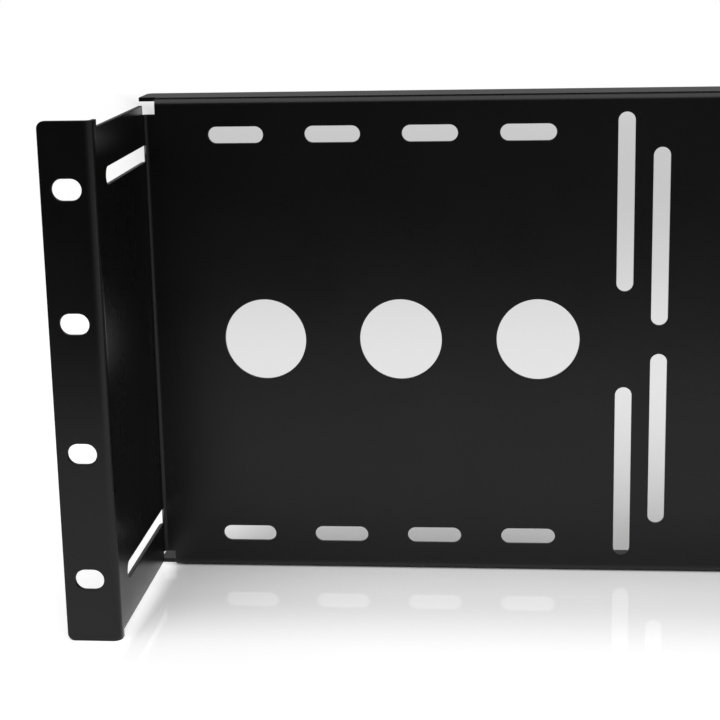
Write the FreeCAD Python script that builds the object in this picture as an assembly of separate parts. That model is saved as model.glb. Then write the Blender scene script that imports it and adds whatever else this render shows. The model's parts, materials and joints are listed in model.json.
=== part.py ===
# Rack monitor mounting bracket, folded from one sheet of steel. Sizes are in millimetres.
# +X runs to the right along the front of the rack, +Y goes into the rack and +Z is up. The origin lies
# midway between the two ears, on the rear faces that bear on the rails of the rack.
import FreeCAD
import Part
import math
import os

# Sheet and folds
SHEET = 1.5                    # thickness of the steel
FOLD_INSIDE = 1.5              # inside radius of every fold
FOLD_OUTSIDE = FOLD_INSIDE + SHEET

# Side walls
BODY_WIDTH = 448.4             # over the outer faces of both walls
RECESS = 75.0                  # from the front of the ears back to the front of the panel
WALL_INSET = 2.5               # how far a wall's long edges stay inside the ear's ends
WALL_STEP_BACK = 5.0           # from the front of the ears back to that step
SIDE_SLOT_WIDTH = 6.0
SIDE_SLOT_FROM_END = 19.9      # from the ear's end to the middle of the slot
SIDE_SLOT_START = 14.5         # from the front of the ears
SIDE_SLOT_INTO_FOLD = 45.0     # degrees of the rear fold that the slot runs through

# Ears, which bring the bracket to the 482.6 mm of the 19-inch rack standard
RACK_UNIT = 44.45
UNITS = 4
EAR_WIDTH = 17.1               # from the wall's outer face to the ear's outer edge
EAR_CORNER = 2.5
EAR_SLOT_FROM_EDGE = 8.75      # from the ear's outer edge to the middle of its slots
EAR_SLOT_LENGTH = 10.0
EAR_SLOT_WIDTH = 7.2

# Flanges along the top and bottom of the panel, folded to the rear
FLANGE_DEPTH = 20.0            # from the front of the panel to the rear edge
FLANGE_PAST_WALL = 0.8         # how far a flange's end stands out past the wall's outer face
FLANGE_CORNER = 2.5
RELIEF_WIDTH = 4.0             # corner notch, from the wall's inner face towards the middle
RELIEF_HEIGHT = 5.9            # its depth into the panel's corner, from the top or bottom
RELIEF_PAST_FOLD = 0.5         # how far it runs along the flange beyond the end of the fold

# Panel
SHORT_SLOT_LENGTH = 20.0
SHORT_SLOT_WIDTH = 6.0
SHORT_SLOT_PITCH = 35.0
SHORT_SLOT_FROM_WALL = 33.2    # outermost slot's middle from the wall's inner face
SHORT_SLOT_FROM_END = 13.5     # each row from the panel's top or bottom
CABLE_HOLE_DIAMETER = 30.0
CABLE_HOLE_PITCH = 50.0
CABLE_HOLE_FROM_WALL = 41.7    # outermost hole's middle from the wall's inner face
SCREEN_SMALL = 75.0            # square screw patterns on the back of a flat screen
SCREEN_LARGE = 100.0
SCREEN_SLOT_LENGTH = 64.5
SCREEN_SLOT_WIDTH = 6.0
LAND = 10.0                    # least width of sheet between a row of openings and the screen slots

RIGHT = FreeCAD.Vector(1, 0, 0)
REAR = FreeCAD.Vector(0, 1, 0)
UP = FreeCAD.Vector(0, 0, 1)

# Faces and edges that the sizes above lead to, on the right-hand side
half_height = UNITS * RACK_UNIT / 2
ear_front = -SHEET
wall_outer = BODY_WIDTH / 2
wall_inner = wall_outer - SHEET
ear_edge = wall_outer + EAR_WIDTH
panel_front = ear_front + RECESS
panel_rear = panel_front + SHEET
rear_fold_start = panel_front - FOLD_INSIDE
relief_edge = wall_inner - RELIEF_WIDTH
flange_rear = panel_front + FLANGE_DEPTH
flange_tip = wall_outer + FLANGE_PAST_WALL


def rounded_path(corners, radii):
    """Edges along the corners, with a quarter arc of the given radius at each square inner corner."""
    edges = []
    start = corners[0]
    for before, corner, after, radius in zip(corners, corners[1:], corners[2:], radii):
        back = (before - corner).normalize() * radius
        ahead = (after - corner).normalize() * radius
        middle = corner + (back + ahead) * (1 - math.sqrt(0.5))
        edges.append(Part.makeLine(start, corner + back))
        edges.append(Part.Arc(corner + back, middle, corner + ahead).toShape())
        start = corner + ahead
    edges.append(Part.makeLine(start, corners[-1]))
    return edges


def folded_strip(front_face, front_radii, rear_face, rear_radii, sweep):
    """Sheet whose section has the two given faces, drawn out along the sweep."""
    outline = rounded_path(front_face, front_radii)
    outline.append(Part.makeLine(front_face[-1], rear_face[-1]))
    outline += rounded_path(rear_face[::-1], rear_radii[::-1])
    outline.append(Part.makeLine(rear_face[0], front_face[0]))
    return Part.Face(Part.Wire(outline)).extrude(sweep)


def block(low, high):
    """Box between two opposite corners."""
    return Part.makeBox(high[0] - low[0], high[1] - low[1], high[2] - low[2], FreeCAD.Vector(*low))


def round_outer_corners(strip, radius, x, direction):
    """Rounds the corners of a flat strip that lie at x, where the short edges run in the direction."""
    corners = []
    for edge in strip.Edges:
        at_x = all(abs(vertex.X - x) < SHEET / 10 for vertex in edge.Vertexes)
        if at_x and edge.tangentAt(edge.FirstParameter).isParallel(direction, 0.01):
            corners.append(edge)
    return strip.makeFillet(radius, corners)


def mirrored(shape):
    """The same shape on the other side of the middle."""
    return shape.mirror(FreeCAD.Vector(0, 0, 0), RIGHT)


def side():
    """Right ear, side wall and the strip of panel up to the corner notches."""
    foot = -half_height
    front_face = [
        FreeCAD.Vector(ear_edge, ear_front, foot),
        FreeCAD.Vector(wall_inner, ear_front, foot),
        FreeCAD.Vector(wall_inner, panel_front, foot),
        FreeCAD.Vector(relief_edge, panel_front, foot),
    ]
    rear_face = [
        FreeCAD.Vector(ear_edge, 0, foot),
        FreeCAD.Vector(wall_outer, 0, foot),
        FreeCAD.Vector(wall_outer, panel_rear, foot),
        FreeCAD.Vector(relief_edge, panel_rear, foot),
    ]
    strip = folded_strip(
        front_face, [FOLD_OUTSIDE, FOLD_INSIDE],
        rear_face, [FOLD_INSIDE, FOLD_OUTSIDE],
        UP * (2 * half_height),
    )
    strip = round_outer_corners(strip, EAR_CORNER, ear_edge, REAR)
    trims = []
    for start, depth in ((ear_front + WALL_STEP_BACK, WALL_INSET), (rear_fold_start, RELIEF_HEIGHT)):
        beyond = half_height + SHEET
        edge = half_height - depth
        trims.append(block((relief_edge, start, edge), (wall_outer + SHEET, panel_rear + SHEET, beyond)))
        trims.append(block((relief_edge, start, -beyond), (wall_outer + SHEET, panel_rear + SHEET, -edge)))
    return strip.cut(trims)


def panel_with_flanges():
    """Panel between the corner notches, with its top and bottom folded to the rear."""
    front_face = [
        FreeCAD.Vector(-relief_edge, flange_rear, half_height),
        FreeCAD.Vector(-relief_edge, panel_front, half_height),
        FreeCAD.Vector(-relief_edge, panel_front, -half_height),
        FreeCAD.Vector(-relief_edge, flange_rear, -half_height),
    ]
    inside = half_height - SHEET
    rear_face = [
        FreeCAD.Vector(-relief_edge, flange_rear, inside),
        FreeCAD.Vector(-relief_edge, panel_rear, inside),
        FreeCAD.Vector(-relief_edge, panel_rear, -inside),
        FreeCAD.Vector(-relief_edge, flange_rear, -inside),
    ]
    return folded_strip(
        front_face, [FOLD_OUTSIDE, FOLD_OUTSIDE],
        rear_face, [FOLD_INSIDE, FOLD_INSIDE],
        RIGHT * (2 * relief_edge),
    )


def flange_ends():
    """Right-hand ends of both flanges, which run on past the corner notches behind the side wall."""
    front = panel_front + FOLD_OUTSIDE + RELIEF_PAST_FOLD
    ends = []
    for low in (half_height - SHEET, -half_height):
        end = block((relief_edge, front, low), (flange_tip, flange_rear, low + SHEET))
        corner = [edge for edge in end.Edges if edge.CenterOfMass.x > flange_tip - SHEET / 10
                  and edge.CenterOfMass.y > flange_rear - SHEET / 10]
        ends.append(end.makeFillet(FLANGE_CORNER, corner))
    return ends


def slot(middle, along, across, length, width):
    """Round-ended cutter, driven to the rear through the sheet whose front face holds the middle."""
    start = middle - REAR * SHEET
    run = along * ((length - width) / 2)
    tip = along * (length / 2)
    rim = across * (width / 2)
    outline = [
        Part.makeLine(start - run + rim, start + run + rim),
        Part.Arc(start + run + rim, start + tip, start + run - rim).toShape(),
        Part.makeLine(start + run - rim, start - run - rim),
        Part.Arc(start - run - rim, start - tip, start - run + rim).toShape(),
    ]
    return Part.Face(Part.Wire(outline)).extrude(REAR * (3 * SHEET))


def ear_slots():
    """One slot at the middle of each rack unit."""
    cutters = []
    for unit in range(UNITS):
        height = (unit - (UNITS - 1) / 2) * RACK_UNIT
        middle = FreeCAD.Vector(ear_edge - EAR_SLOT_FROM_EDGE, ear_front, height)
        cutters.append(slot(middle, RIGHT, UP, EAR_SLOT_LENGTH, EAR_SLOT_WIDTH))
    return cutters


def places_from_wall(first_from_wall, pitch, width):
    """Where a row's openings lie from the middle: from the wall inwards, until the screen slots are near."""
    outermost = wall_inner - first_from_wall
    innermost = (SCREEN_LARGE + SCREEN_SLOT_WIDTH + width) / 2 + LAND
    count = math.floor((outermost - innermost) / pitch) + 1
    return [outermost - number * pitch for number in range(count)]


def short_slots():
    """Rows of fixing slots along the top and the bottom of the panel."""
    row = half_height - SHORT_SLOT_FROM_END
    cutters = []
    for across in places_from_wall(SHORT_SLOT_FROM_WALL, SHORT_SLOT_PITCH, SHORT_SLOT_LENGTH):
        for height in (row, -row):
            middle = FreeCAD.Vector(across, panel_front, height)
            cutters.append(slot(middle, RIGHT, UP, SHORT_SLOT_LENGTH, SHORT_SLOT_WIDTH))
    return cutters


def cable_holes():
    """Row of round holes at mid height for the cables of the screen."""
    cutters = []
    for across in places_from_wall(CABLE_HOLE_FROM_WALL, CABLE_HOLE_PITCH, CABLE_HOLE_DIAMETER):
        start = FreeCAD.Vector(across, panel_front - SHEET, 0)
        cutters.append(Part.makeCylinder(CABLE_HOLE_DIAMETER / 2, 3 * SHEET, start, REAR))
    return cutters


def screen_slots():
    """Upright slots centred on the screws of a screen pattern, so that the screen can go up or down."""
    cutters = []
    for pattern in (SCREEN_SMALL, SCREEN_LARGE):
        for height in (pattern / 2, -pattern / 2):
            middle = FreeCAD.Vector(pattern / 2, panel_front, height)
            cutters.append(slot(middle, UP, RIGHT, SCREEN_SLOT_LENGTH, SCREEN_SLOT_WIDTH))
    return cutters


def side_slots():
    """Long slots in the side wall, round at the front and running on into the rear fold."""
    rim = SIDE_SLOT_WIDTH / 2
    fold_axis = wall_inner - FOLD_INSIDE
    near = fold_axis + FOLD_INSIDE / 2
    far = wall_outer + SHEET
    front_end = ear_front + SIDE_SLOT_START + rim
    offset = half_height - SIDE_SLOT_FROM_END
    cutters = []
    for height in (offset, -offset):
        cutters.append(Part.makeCylinder(rim, far - near, FreeCAD.Vector(near, front_end, height), RIGHT))
        cutters.append(block((near, front_end, height - rim), (far, rear_fold_start, height + rim)))
        corners = [
            FreeCAD.Vector(near, rear_fold_start, height - rim),
            FreeCAD.Vector(far, rear_fold_start, height - rim),
            FreeCAD.Vector(far, rear_fold_start, height + rim),
            FreeCAD.Vector(near, rear_fold_start, height + rim),
        ]
        across_sheet = Part.Face(Part.makePolygon(corners + corners[:1]))
        turn_about = FreeCAD.Vector(fold_axis, rear_fold_start, 0)
        cutters.append(across_sheet.revolve(turn_about, UP, SIDE_SLOT_INTO_FOLD))
    return cutters


def bracket():
    """The whole folded sheet with its holes."""
    right = [side()] + flange_ends()
    left = [mirrored(shape) for shape in right]
    sheet = panel_with_flanges().fuse(right + left).removeSplitter()
    cutters = ear_slots() + short_slots() + cable_holes() + screen_slots() + side_slots()
    cutters += [mirrored(cutter) for cutter in cutters]
    return sheet.cut(cutters).removeSplitter()


os.makedirs("parts", exist_ok=True)
folded_bracket = bracket()
print("solids", len(folded_bracket.Solids), "valid", folded_bracket.isValid(),
      "volume mm3", round(folded_bracket.Volume))
folded_bracket.Solids[0].exportStep("parts/folded_bracket.step")
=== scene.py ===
import json
import math

import bmesh
import bpy
from mathutils import Matrix, Vector


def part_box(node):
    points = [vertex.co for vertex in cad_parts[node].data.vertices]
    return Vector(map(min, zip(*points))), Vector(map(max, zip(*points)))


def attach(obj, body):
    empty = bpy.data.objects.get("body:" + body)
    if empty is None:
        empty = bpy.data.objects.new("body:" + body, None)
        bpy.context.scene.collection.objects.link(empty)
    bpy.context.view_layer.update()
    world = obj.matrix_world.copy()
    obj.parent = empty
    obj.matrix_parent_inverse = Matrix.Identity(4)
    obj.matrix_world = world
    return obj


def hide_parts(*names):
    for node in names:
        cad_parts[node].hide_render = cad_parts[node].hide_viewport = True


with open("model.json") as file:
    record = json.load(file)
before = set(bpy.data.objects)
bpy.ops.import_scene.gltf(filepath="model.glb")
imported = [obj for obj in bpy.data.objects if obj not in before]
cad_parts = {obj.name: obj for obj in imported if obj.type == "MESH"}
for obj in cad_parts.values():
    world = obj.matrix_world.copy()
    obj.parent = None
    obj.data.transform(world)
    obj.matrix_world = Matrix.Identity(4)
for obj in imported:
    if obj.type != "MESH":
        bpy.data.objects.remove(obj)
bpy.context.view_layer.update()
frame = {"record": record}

# The blank. The whole bracket is one piece of 1.5 mm cold-rolled steel sheet, cut flat by a laser: the
# panel in the middle, a side wall and a rack ear to each side, and a flange above and below. On the flat
# blank u runs across, v runs up, and the front face lies at depth 0.
MM = 0.001
sheet = 1.5 * MM
fold_inside = 1.5 * MM
fold_outside = fold_inside + sheet
fold_length = math.radians(90) * (fold_inside + sheet / 2)    # strip of sheet that one fold takes up
wall_outer = 224.2 * MM
wall_edge_inset = 2.5 * MM
wall_step_back = 5.0 * MM
ear_corner = 2.5 * MM
flange_past_wall = 0.8 * MM
flange_corner = 2.5 * MM
corner_steps = 10
notch_width = 4.0 * MM
notch_height = 5.9 * MM
notch_past_fold = 0.5 * MM

mounts = {mount["name"]: mount for mount in frame["record"]["mounts"]}
bracket_low, bracket_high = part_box("folded_bracket")
half_height = bracket_high.z
ear_front = bracket_low.y
ear_rear = ear_front + sheet
panel_front = mounts["screen_face"]["pos_m"][1]

rear_fold_y = panel_front - fold_inside
rear_fold_u = wall_outer - fold_outside
wall_u = rear_fold_u + fold_length
front_fold_y = ear_rear + fold_inside
front_fold_u = wall_u + rear_fold_y - front_fold_y
ear_x = wall_outer + fold_inside
ear_u = front_fold_u + fold_length
ear_end_u = ear_u + bracket_high.x - ear_x
flange_fold_v = half_height - fold_outside
flange_y = panel_front + fold_outside
flange_v = flange_fold_v + fold_length
flange_end_v = flange_v + bracket_high.y - flange_y
flange_tip_u = wall_outer + flange_past_wall
tab_v = flange_v + notch_past_fold
notch_u = wall_outer - sheet - notch_width
notch_v = half_height - notch_height


def u_on_wall(y):
    """Place on the flat blank of a point of the right wall that lies at y once it is folded."""
    return wall_u + rear_fold_y - y


def u_on_ear(x):
    """Place on the flat blank of a point of the right ear that lies at x once it is folded."""
    return ear_u + x - ear_x


def arc(middle, radius, start, stop, steps):
    """Points along an arc between two angles in degrees, both ends among them."""
    points = []
    for step in range(steps + 1):
        angle = math.radians(start + (stop - start) * step / steps)
        points.append(middle + radius * Vector((math.cos(angle), math.sin(angle))))
    return points


def in_all_quarters(corners):
    """Corners of one quarter, from the top middle to the right-hand middle, carried clockwise all round."""
    below = [(u, -v, radius) for u, v, radius in reversed(corners)]
    right = corners + below
    return right + [(-u, -v, radius) for u, v, radius in right]


def rounded_outline(corners):
    """Clockwise outline through square corners, with an arc at each corner that has a radius."""
    outline = []
    for number, (u, v, radius) in enumerate(corners):
        corner = Vector((u, v))
        before = Vector(corners[number - 1][:2])
        after = Vector(corners[(number + 1) % len(corners)][:2])
        if radius:
            back = (before - corner).normalized() * radius
            ahead = (after - corner).normalized() * radius
            start = math.degrees(math.atan2(-ahead.y, -ahead.x))
            outline += arc(corner + back + ahead, radius, start, start - 90, corner_steps)
        else:
            outline.append(corner)
    return outline


blank_outlines = [rounded_outline(in_all_quarters([
    (flange_tip_u, flange_end_v, flange_corner),
    (flange_tip_u, tab_v, 0),
    (notch_u, tab_v, 0),
    (notch_u, notch_v, 0),
    (wall_u, notch_v, 0),
    (wall_u, half_height - wall_edge_inset, 0),
    (u_on_wall(ear_front + wall_step_back), half_height - wall_edge_inset, 0),
    (u_on_wall(ear_front + wall_step_back), half_height, 0),
    (ear_end_u, half_height, ear_corner),
]))]

# Slots and holes, cut in the flat blank: rack slots in the ears, fixing slots along the panel, upright
# slots for the screws of a screen, round holes for its cables, and long slots in the side walls, which run
# on into the rear fold.
slot_steps = 16
cable_hole_radius = 15.0 * MM
cable_hole_pitch = 50.0 * MM
cable_hole_from_wall = 41.7 * MM
cable_holes_each_side = 3
cable_hole_steps = 80
side_slot_radius = 3.0 * MM
side_slot_from_end = 19.9 * MM
side_slot_start = 14.5 * MM
side_slot_in_fold = 0.5                                       # share of the fold that the slot runs through


def round_ended(middle, length, radius, upright):
    """Anticlockwise outline of a slot with round ends."""
    run = Vector((length / 2 - radius, 0))
    ends = arc(run, radius, -90, 90, slot_steps) + arc(-run, radius, 90, 270, slot_steps)
    if upright:
        ends = [Vector((-point.y, point.x)) for point in ends]
    return [middle + point for point in ends]


for mount in mounts.values():
    if mount["kind"] == "bolt_pattern":
        dims = mount["dims"]
        slot_radius = dims["hole_r_mm"] * MM
        slot_length = dims["slot_length_mm"] * MM
        rows = [dims["spacing_y_mm"] * MM / 2, -dims["spacing_y_mm"] * MM / 2]
        upright = "spacing_x_mm" not in dims
        columns = [mount["pos_m"][0]]
        if not upright:
            columns = [dims["spacing_x_mm"] * MM / 2, -dims["spacing_x_mm"] * MM / 2]
        for x in columns:
            u = math.copysign(u_on_ear(abs(x)), x) if abs(x) > wall_outer else x
            for v in rows:
                blank_outlines.append(round_ended(Vector((u, v)), slot_length, slot_radius, upright))

for number in range(cable_holes_each_side):
    hole_u = wall_outer - sheet - cable_hole_from_wall - number * cable_hole_pitch
    for u in (hole_u, -hole_u):
        blank_outlines.append(arc(Vector((u, 0)), cable_hole_radius, 0, 360, cable_hole_steps)[:-1])

side_slot_front_u = u_on_wall(ear_front + side_slot_start + side_slot_radius)
side_slot_rear_u = wall_u - fold_length * side_slot_in_fold
for v in (half_height - side_slot_from_end, side_slot_from_end - half_height):
    side_slot = arc(Vector((side_slot_front_u, v)), side_slot_radius, -90, 90, slot_steps)
    side_slot.append(Vector((side_slot_rear_u, v + side_slot_radius)))
    side_slot.append(Vector((side_slot_rear_u, v - side_slot_radius)))
    blank_outlines.append(side_slot)
    blank_outlines.append([Vector((-point.x, point.y)) for point in reversed(side_slot)])

# Cut edges. The laser leaves a square edge, which is deburred and then softened by the coat, so each
# outline goes through the sheet as a narrow wall with a small round at the front and at the rear face.
edge_round = 0.15 * MM
edge_steps = 3
edge_land = 0.2 * MM                                          # flat border beside each round


def moved_into_metal(outline, distance):
    """An outline moved into the metal, which lies on the right of its direction."""
    moved = []
    for before, here, after in zip(outline[-1:] + outline[:-1], outline, outline[1:] + outline[:1]):
        arriving = (here - before).normalized()
        leaving = (after - here).normalized()
        inward = Vector((arriving.y, -arriving.x)) + Vector((leaving.y, -leaving.x))
        moved.append(here + inward * distance / (1 + arriving.dot(leaving)))
    return moved


edge_profile = [(edge_round + edge_land, 0)]
for step in range(edge_steps + 1):
    turn = math.radians(90) * step / edge_steps
    edge_profile.append((edge_round * (1 - math.sin(turn)), edge_round * (1 - math.cos(turn))))
edge_profile += [(inset, sheet - depth) for inset, depth in reversed(edge_profile)]

blank = bmesh.new()
front_rims = []
rear_rims = []
for outline in blank_outlines:
    rings = []
    for inset, depth in edge_profile:
        rings.append([blank.verts.new((*point, depth)) for point in moved_into_metal(outline, inset)])
    for nearer, deeper in zip(rings, rings[1:]):
        for number in range(len(outline)):
            blank.faces.new((nearer[number - 1], nearer[number], deeper[number], deeper[number - 1]))
    for rims, ring in ((front_rims, rings[0]), (rear_rims, rings[-1])):
        rims += [blank.edges.get((ring[number - 1], ring[number])) for number in range(len(ring))]
for rims in (front_rims, rear_rims):
    bmesh.ops.triangle_fill(blank, edges=rims, use_beauty=True)

# Folds. A press brake folds the blank by 90 degrees on six lines, all with one inside radius: the flanges
# to the rear, the side walls to the front and the ears outwards. The blank gets fine creases along those
# lines, and each point is then carried to where the folded sheet takes it.
fold_steps = 12
fold_land = 0.4 * MM                                          # flat border beside each fold
crease_slack = 0.001 * MM                                     # points this near a crease are on it
notch_slack = 0.01 * MM                                       # points this near a notch are on its edge


def crease(place, direction):
    """Divides the blank's faces along a line across the given direction."""
    everything = blank.verts[:] + blank.edges[:] + blank.faces[:]
    bmesh.ops.bisect_plane(blank, geom=everything, dist=crease_slack, plane_co=place, plane_no=direction)


for fold_start, direction in (
    (rear_fold_u, Vector((1, 0, 0))),
    (front_fold_u, Vector((1, 0, 0))),
    (flange_fold_v, Vector((0, 1, 0))),
):
    lines = [fold_start + fold_length * step / fold_steps for step in range(fold_steps + 1)]
    for line in [fold_start - fold_land] + lines + [fold_start + fold_length + fold_land]:
        crease(direction * line, direction)
        crease(-direction * line, direction)


def folded_across(u, depth):
    """(x, y) on the folded sheet of a point of the panel, a side wall or an ear."""
    run = abs(u)
    if run < rear_fold_u:
        x, y = run, panel_front + depth
    elif run < wall_u:
        turn = math.radians(90) * (run - rear_fold_u) / fold_length
        radius = fold_inside + depth
        x, y = rear_fold_u + radius * math.sin(turn), rear_fold_y + radius * math.cos(turn)
    elif run < front_fold_u:
        x, y = wall_outer - sheet + depth, rear_fold_y - (run - wall_u)
    elif run < ear_u:
        turn = math.radians(90) * (run - front_fold_u) / fold_length
        radius = fold_outside - depth
        x, y = ear_x - radius * math.cos(turn), front_fold_y - radius * math.sin(turn)
    else:
        x, y = ear_x + run - ear_u, ear_front + depth
    return math.copysign(x, u), y


def folded_back(v, depth):
    """(y, z) on the folded sheet of a point of the panel or a flange."""
    run = abs(v)
    if run < flange_fold_v:
        y, z = panel_front + depth, run
    elif run < flange_v:
        turn = math.radians(90) * (run - flange_fold_v) / fold_length
        radius = fold_outside - depth
        y, z = flange_y - radius * math.cos(turn), flange_fold_v + radius * math.sin(turn)
    else:
        y, z = flange_y + run - flange_v, half_height - depth
    return y, math.copysign(z, v)


for point in blank.verts:
    u, v, depth = point.co
    if abs(u) < notch_u + notch_slack or abs(v) > tab_v - notch_slack:
        point.co = (u, *folded_back(v, depth))
    else:
        point.co = (*folded_across(u, depth), v)
bmesh.ops.recalc_face_normals(blank, faces=blank.faces[:])

bracket_mesh = bpy.data.meshes.new("coated_bracket")
blank.to_mesh(bracket_mesh)
blank.free()
bracket_mesh.polygons.foreach_set("use_smooth", [True] * len(bracket_mesh.polygons))
bracket = bpy.data.objects.new("coated_bracket", bracket_mesh)
bpy.context.scene.collection.objects.link(bracket)
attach(bracket, "root")
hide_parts("folded_bracket")

# Powder coat. Black polyester powder is sprayed on the folded sheet and baked: a satin film with a fine
# orange peel and a finer grain, which is slightly uneven in shade and in gloss.
coat_dark = (0.0011, 0.0011, 0.0012, 1)
coat_light = (0.0022, 0.0021, 0.0021, 1)
coat_roughness = (0.26, 0.31)
coat_specular = 0.31
coat_cloud_per_metre = 30
coat_peel_per_metre = 900
coat_peel_depth = 0.03 * MM
coat_peel_strength = 0.25
coat_grain_per_metre = 4200
coat_grain_depth = 0.008 * MM
coat_grain_strength = 0.2
noise_middle = (0.3, 0.7)                                     # range that holds most of a noise's values

powder_coat = bpy.data.materials.new("black_powder_coat")
powder_coat.use_nodes = True
coat_tree = powder_coat.node_tree
coat_shader = coat_tree.nodes["Principled BSDF"]
coat_place = coat_tree.nodes.new("ShaderNodeTexCoord")


def coat_noise(per_metre, detail):
    """Noise over the bracket's own shape, with that many spots to the metre."""
    noise = coat_tree.nodes.new("ShaderNodeTexNoise")
    noise.inputs["Scale"].default_value = per_metre
    noise.inputs["Detail"].default_value = detail
    coat_tree.links.new(coat_place.outputs["Object"], noise.inputs["Vector"])
    return noise.outputs["Fac"]


def coat_bump(height, strength, depth):
    """Unevenness of the coat's surface from a noise."""
    bump = coat_tree.nodes.new("ShaderNodeBump")
    bump.inputs["Strength"].default_value = strength
    bump.inputs["Distance"].default_value = depth
    coat_tree.links.new(height, bump.inputs["Height"])
    return bump


def fade(tree, value, start, stop, low, high, course="SMOOTHSTEP"):
    """Change from low to high while the value goes from start to stop; each of the four may be a socket."""
    change = tree.nodes.new("ShaderNodeMapRange")
    change.interpolation_type = course
    tree.links.new(value, change.inputs["Value"])
    for name, setting in (("From Min", start), ("From Max", stop), ("To Min", low), ("To Max", high)):
        if isinstance(setting, bpy.types.NodeSocket):
            tree.links.new(setting, change.inputs[name])
        else:
            change.inputs[name].default_value = setting
    return change.outputs["Result"]


clouds = coat_noise(coat_cloud_per_metre, 3)
peel = coat_noise(coat_peel_per_metre, 2)
grain = coat_noise(coat_grain_per_metre, 1)

coat_shade = coat_tree.nodes.new("ShaderNodeMix")
coat_shade.data_type = "RGBA"
coat_shade.inputs["A"].default_value = coat_dark
coat_shade.inputs["B"].default_value = coat_light
coat_tree.links.new(fade(coat_tree, grain, *noise_middle, 0, 1, "LINEAR"), coat_shade.inputs["Factor"])
coat_gloss = fade(coat_tree, clouds, *noise_middle, *coat_roughness, "LINEAR")
peel_bump = coat_bump(peel, coat_peel_strength, coat_peel_depth)
grain_bump = coat_bump(grain, coat_grain_strength, coat_grain_depth)
coat_tree.links.new(peel_bump.outputs["Normal"], grain_bump.inputs["Normal"])

coat_tree.links.new(coat_shade.outputs["Result"], coat_shader.inputs["Base Color"])
coat_tree.links.new(coat_gloss, coat_shader.inputs["Roughness"])
coat_tree.links.new(grain_bump.outputs["Normal"], coat_shader.inputs["Normal"])
coat_shader.inputs["Specular IOR Level"].default_value = coat_specular
bracket_mesh.materials.append(powder_coat)

# Floor. A polished white acrylic table top, on which the bracket stands on its lower edges and which ends
# a forearm's length in front of the ears. It gives off painted light: for camera, glossy and transmission
# rays it glows, so that it fades into the white of the room to the sides, in front and far behind. A
# painted shade field behind the bracket gets less of that glow and shows grey through the openings; the
# lamp's shadow and the reflection stay.
table_front = -0.3
table_reach = 3.0
table_white = (0.93, 0.93, 0.93, 1)
table_roughness = 0.03
painted_shade_half_width = 0.15                                        # painted shade field behind the bracket, half its width at the ears
painted_shade_spread = 0.21                                            # what each metre to the rear adds to that
painted_shade_edge_near = 0.212                                        # outer side of its soft edge, at the ears
painted_shade_edge_far = 0.31                                          # and at the table's far end, less the spread
# Strengths of the painted glow, the light that the table gives off where no lamp lights it.
glow_reach = 2.8                                              # where the table is all white
glow_on_the_way = [(0.2, 0), (0.46, 0.085), (0.7, 0.09), (1.45, 0.25), (1.7, 0.32), (1.85, 0.44),
                   (2.1, 0.74)]
side_glow = (0.4, 0.75)                                       # beside the bracket, and further out
front_glow = 0.23                                             # in front of the ears
far_glow = 0.9                                                # far out to both sides

table_mesh = bpy.data.meshes.new("table")
table_corners = [(-table_reach, table_front), (table_reach, table_front), (table_reach, table_reach),
                 (-table_reach, table_reach)]
table_mesh.from_pydata([(x, y, bracket_low.z) for x, y in table_corners], [], [(0, 1, 2, 3)])
table = bpy.data.objects.new("table", table_mesh)
bpy.context.scene.collection.objects.link(table)

acrylic = bpy.data.materials.new("white_acrylic_with_painted_glow")
acrylic.use_nodes = True
table_tree = acrylic.node_tree
table_shader = table_tree.nodes["Principled BSDF"]
table_shader.inputs["Base Color"].default_value = table_white
table_shader.inputs["Roughness"].default_value = table_roughness
table_shader.inputs["Emission Color"].default_value = (1, 1, 1, 1)
table_place = table_tree.nodes.new("ShaderNodeTexCoord")
table_axes = table_tree.nodes.new("ShaderNodeSeparateXYZ")
table_tree.links.new(table_place.outputs["Object"], table_axes.inputs["Vector"])


def combined(tree, operation, value, *others):
    """Result of an arithmetic operation on values, taken in turn."""
    for other in others:
        step = tree.nodes.new("ShaderNodeMath")
        step.operation = operation
        tree.links.new(value, step.inputs[0])
        tree.links.new(other, step.inputs[1])
        value = step.outputs["Value"]
    return value


to_rear = table_axes.outputs["Y"]
sideways = table_tree.nodes.new("ShaderNodeMath")
sideways.operation = "ABSOLUTE"
table_tree.links.new(table_axes.outputs["X"], sideways.inputs[0])
to_side = sideways.outputs["Value"]

# Painted light: a glow that grows towards the table's far end, where the soft box lights it less.
glow_behind = table_tree.nodes.new("ShaderNodeFloatCurve")
for distance, strength in glow_on_the_way:
    glow_behind.mapping.curves[0].points.new(distance / glow_reach, strength)
glow_behind.mapping.update()
table_tree.links.new(fade(table_tree, to_rear, 0, glow_reach, 0, 1, "LINEAR"), glow_behind.inputs["Value"])

# Painted shade: a field behind the bracket, widening to the rear, which the glow beside the bracket leaves
# out.
spread = fade(table_tree, to_rear, 0, table_reach, 0, painted_shade_spread * table_reach, "LINEAR")
painted_shade_edge = fade(table_tree, to_rear, 0, table_reach, painted_shade_edge_near, painted_shade_edge_far, "LINEAR")
from_middle = combined(table_tree, "SUBTRACT", to_side, spread)
past_painted_shade = fade(table_tree, from_middle, painted_shade_half_width, painted_shade_edge, 0, 1)
past_wall = fade(table_tree, to_side, 0.215, 0.222, 0, 1)
past_panel = fade(table_tree, to_rear, 0.08, 0.12, 0, 1)
past_ear_side = fade(table_tree, to_side, 0.3, 0.6, 0, 1)
past_ear_front = fade(table_tree, to_rear, -0.1, -0.01, 0, 1)
glow_beside = combined(
    table_tree,
    "MULTIPLY",
    fade(table_tree, to_side, 0.25, 0.75, *side_glow),
    past_painted_shade,
    combined(table_tree, "MAXIMUM", past_wall, past_panel),
    combined(table_tree, "MAXIMUM", past_ear_side, past_ear_front),
)
glow_in_front = fade(table_tree, to_rear, 0.045, -0.01, 0, front_glow)
glow_far_out = fade(table_tree, to_side, 0.6, 1.2, 0, far_glow)
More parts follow.
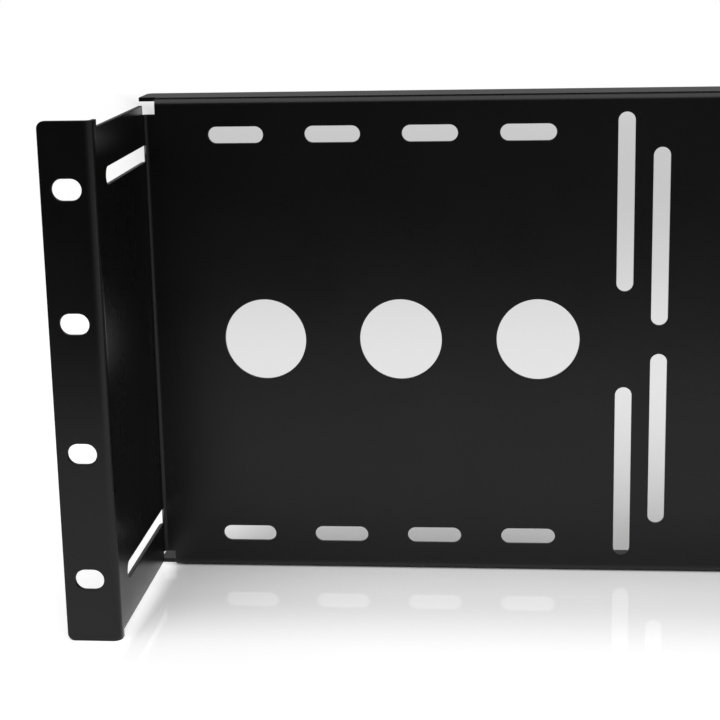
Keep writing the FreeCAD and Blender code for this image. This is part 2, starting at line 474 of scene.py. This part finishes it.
glow = combined(
    table_tree, "MAXIMUM", glow_behind.outputs["Value"], glow_beside, glow_in_front, glow_far_out,
)
# Camera, glossy and transmission rays see the painted glow; diffuse light off the table leaves it out.
table_ray = table_tree.nodes.new("ShaderNodeLightPath")
seen_ray = combined(
    table_tree,
    "MAXIMUM",
    table_ray.outputs["Is Camera Ray"],
    table_ray.outputs["Is Glossy Ray"],
    table_ray.outputs["Is Transmission Ray"],
)
shown_glow = combined(table_tree, "MULTIPLY", glow, seen_ray)
table_tree.links.new(shown_glow, table_shader.inputs["Emission Strength"])
table_mesh.materials.append(acrylic)

# Light. A large soft box hangs above the front of the table and is turned to the bracket. The coat mirrors
# a low white screen behind the table, with the dark room above it, and in front a room that is dark to the
# left and lighter to the right. The camera itself sees white all round.
room_fill = 0.4
room_left, room_middle, room_right = 0.01, 0.15, 0.55         # room in front, as the coat mirrors it
screen_foot, screen_top = 0.13, 0.5                           # screen behind
dark_above = 0.06                                             # what is left of that above the screen
soft_box_size = (1.6, 1.3)
soft_box_watts = 15.2
soft_box_place = Vector((0, -0.36, 1.07))

room = bpy.data.worlds.new("studio")
bpy.context.scene.world = room
room.use_nodes = True
room_tree = room.node_tree
room_light = room_tree.nodes["Background"]
room_light.inputs["Color"].default_value = (1, 1, 1, 1)
towards = room_tree.nodes.new("ShaderNodeTexCoord")
direction_axes = room_tree.nodes.new("ShaderNodeSeparateXYZ")
room_tree.links.new(towards.outputs["Generated"], direction_axes.inputs["Vector"])
rightward = direction_axes.outputs["X"]
rearward = direction_axes.outputs["Y"]
upward = direction_axes.outputs["Z"]

dark_left = fade(room_tree, rightward, -0.2, -0.06, room_left, room_middle)
in_front = fade(room_tree, rightward, 0.25, 0.6, dark_left, room_right)
screen = fade(room_tree, upward, 0.05, 0.35, screen_foot, screen_top)
above_screen = fade(room_tree, upward, 0.42, 0.6, 1, dark_above)
behind = combined(room_tree, "MULTIPLY", screen, above_screen)
mirrored_room = fade(room_tree, rearward, -0.7, 0.3, in_front, behind)
room_ray = room_tree.nodes.new("ShaderNodeLightPath")
mirror_ray = combined(
    room_tree, "MAXIMUM", room_ray.outputs["Is Glossy Ray"], room_ray.outputs["Is Transmission Ray"],
)
lit_room = fade(room_tree, mirror_ray, 0, 1, room_fill, mirrored_room, "LINEAR")
shown_room = combined(room_tree, "MAXIMUM", room_ray.outputs["Is Camera Ray"], lit_room)
room_tree.links.new(shown_room, room_light.inputs["Strength"])

soft_box_data = bpy.data.lights.new("soft_box", "AREA")
soft_box_data.shape = "RECTANGLE"
soft_box_data.size, soft_box_data.size_y = soft_box_size
soft_box_data.energy = soft_box_watts
soft_box = bpy.data.objects.new("soft_box", soft_box_data)
soft_box.location = soft_box_place
soft_box.rotation_euler = (-soft_box_place).to_track_quat("-Z", "Y").to_euler()
bpy.context.scene.collection.objects.link(soft_box)

# Camera. It stands in front of the left half, a little above the bracket, and looks slightly down and to
# the left; the right half of the bracket runs out of the picture.
camera_sensor = 36
camera_lens = 89.04
camera_place = Vector((-0.08146, -0.56037, 0.14699))
camera_target = Vector((-0.14619, panel_front, -0.00775))
camera_roll = math.radians(-1.226)

camera_data = bpy.data.cameras.new("camera")
camera_data.sensor_width = camera_sensor
camera_data.lens = camera_lens
camera = bpy.data.objects.new("camera", camera_data)
aim = (camera_target - camera_place).to_track_quat("-Z", "Y").to_matrix()
aim = aim @ Matrix.Rotation(camera_roll, 3, "Z")
camera.matrix_world = Matrix.Translation(camera_place) @ aim.to_4x4()
bpy.context.scene.collection.objects.link(camera)
bpy.context.scene.camera = camera

bpy.context.scene.view_settings.view_transform = "Standard"
